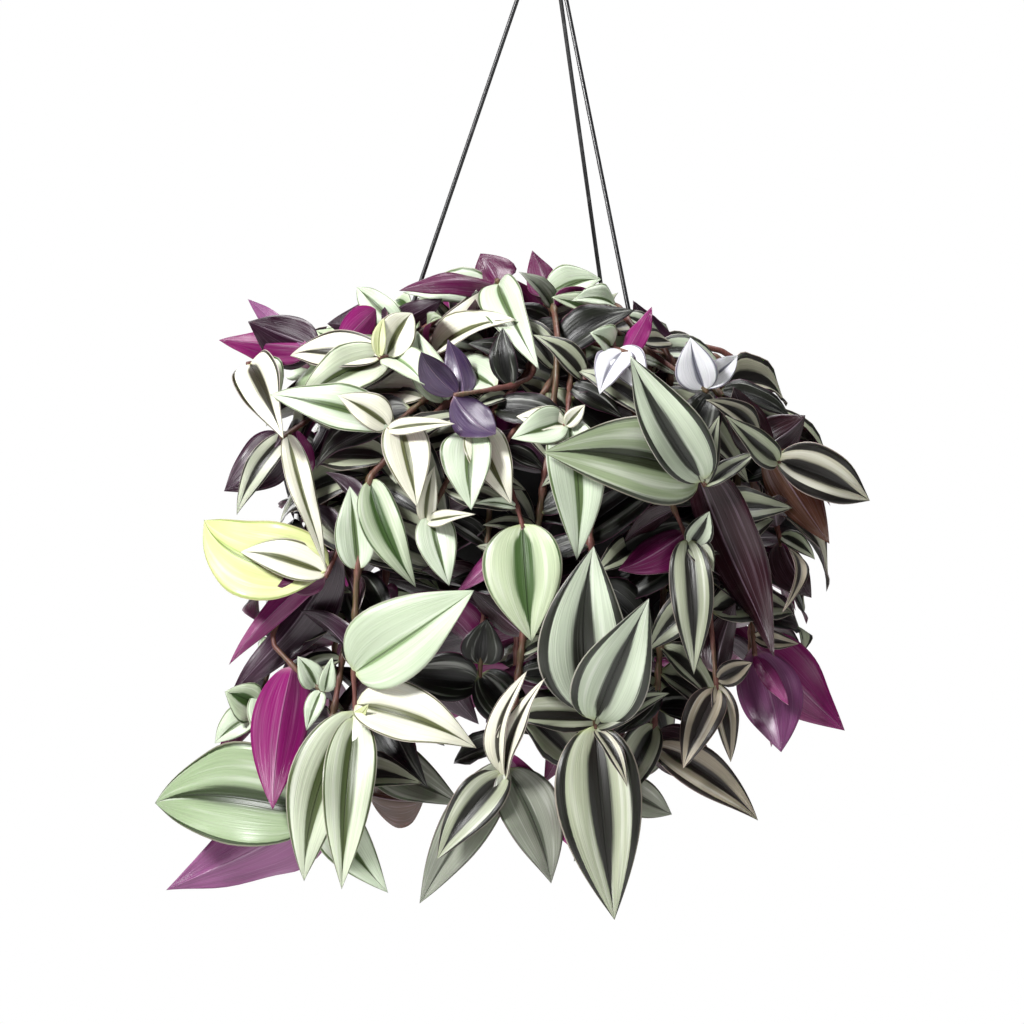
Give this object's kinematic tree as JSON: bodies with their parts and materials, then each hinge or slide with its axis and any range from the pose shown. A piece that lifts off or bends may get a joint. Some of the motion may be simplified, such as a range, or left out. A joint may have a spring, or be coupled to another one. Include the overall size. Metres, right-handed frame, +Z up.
{
  "type": "inch plant hanging basket",
  "caption": "Trailing house plant with pointed leaves, silver striped above and purple below, filling a round hanging pot on wire arms that meet at a hub with an open hook.",
  "frame": {"origin": "the point inside the hook where the basket bears on the ceiling hook or rod that holds it", "axes": "+Z up along the hanger, +Y away from the picture's camera, +X to its right"},
  "size_m": [0.3534, 0.3146, 0.541],
  "materials": {
    "pot_plastic": "satin black moulded plastic",
    "hub_plastic": "satin black moulded plastic",
    "coated_wire": "semi-gloss dark coating on steel wire",
    "potting_soil": "rough, crumbly, peat and bark potting mix",
    "striped_leaf": "waxy leaf, silver and green stripes above, glossy purple below"
  },
  "bodies": {
    "root": {"hanger_arm_1": "coated_wire", "hanger_arm_2": "coated_wire", "hanger_arm_3": "coated_wire", "hanger_hook": "coated_wire", "hanger_hub": "hub_plastic", "pot": "pot_plastic", "soil": "potting_soil", "vine_burgundy_right": "striped_leaf", "vine_centre_left": "striped_leaf", "vine_centre_long": "striped_leaf", "vine_centre_mint": "striped_leaf", "vine_centre_small": "striped_leaf", "vine_centre_star": "striped_leaf", "vine_crown_1": "striped_leaf", "vine_crown_2": "striped_leaf", "vine_crown_3": "striped_leaf", "vine_crown_4": "striped_leaf", "vine_crown_5": "striped_leaf", "vine_crown_left": "striped_leaf", "vine_dark_right": "striped_leaf", "vine_edge_left": "striped_leaf", "vine_hanging_right": "striped_leaf", "vine_lime_left": "striped_leaf", "vine_long_left": "striped_leaf", "vine_low_behind": "striped_leaf", "vine_low_centre": "striped_leaf", "vine_low_left": "striped_leaf", "vine_low_right": "striped_leaf", "vine_low_rust": "striped_leaf", "vine_low_star": "striped_leaf", "vine_magenta_left": "striped_leaf", "vine_magenta_right": "striped_leaf", "vine_plum_centre": "striped_leaf", "vine_plum_left": "striped_leaf", "vine_purple_crown_left": "striped_leaf", "vine_purple_left": "striped_leaf", "vine_right_crown": "striped_leaf", "vine_right_star": "striped_leaf", "vine_rim_1": "striped_leaf", "vine_rim_2": "striped_leaf", "vine_rim_3": "striped_leaf", "vine_rim_4": "striped_leaf", "vine_rim_5": "striped_leaf", "vine_rim_6": "striped_leaf", "vine_rim_7": "striped_leaf", "vine_rim_8": "striped_leaf", "vine_shade_centre": "striped_leaf", "vine_shoulder_left": "striped_leaf", "vine_top_centre": "striped_leaf", "vine_top_purple": "striped_leaf", "vine_top_right": "striped_leaf", "vine_trail_1": "striped_leaf", "vine_trail_2": "striped_leaf", "vine_trail_3": "striped_leaf", "vine_trail_4": "striped_leaf", "vine_trail_5": "striped_leaf", "vine_trail_6": "striped_leaf", "vine_trail_7": "striped_leaf", "vine_trail_8": "striped_leaf", "vine_white_right": "striped_leaf"}
  },
  "joints": []
}
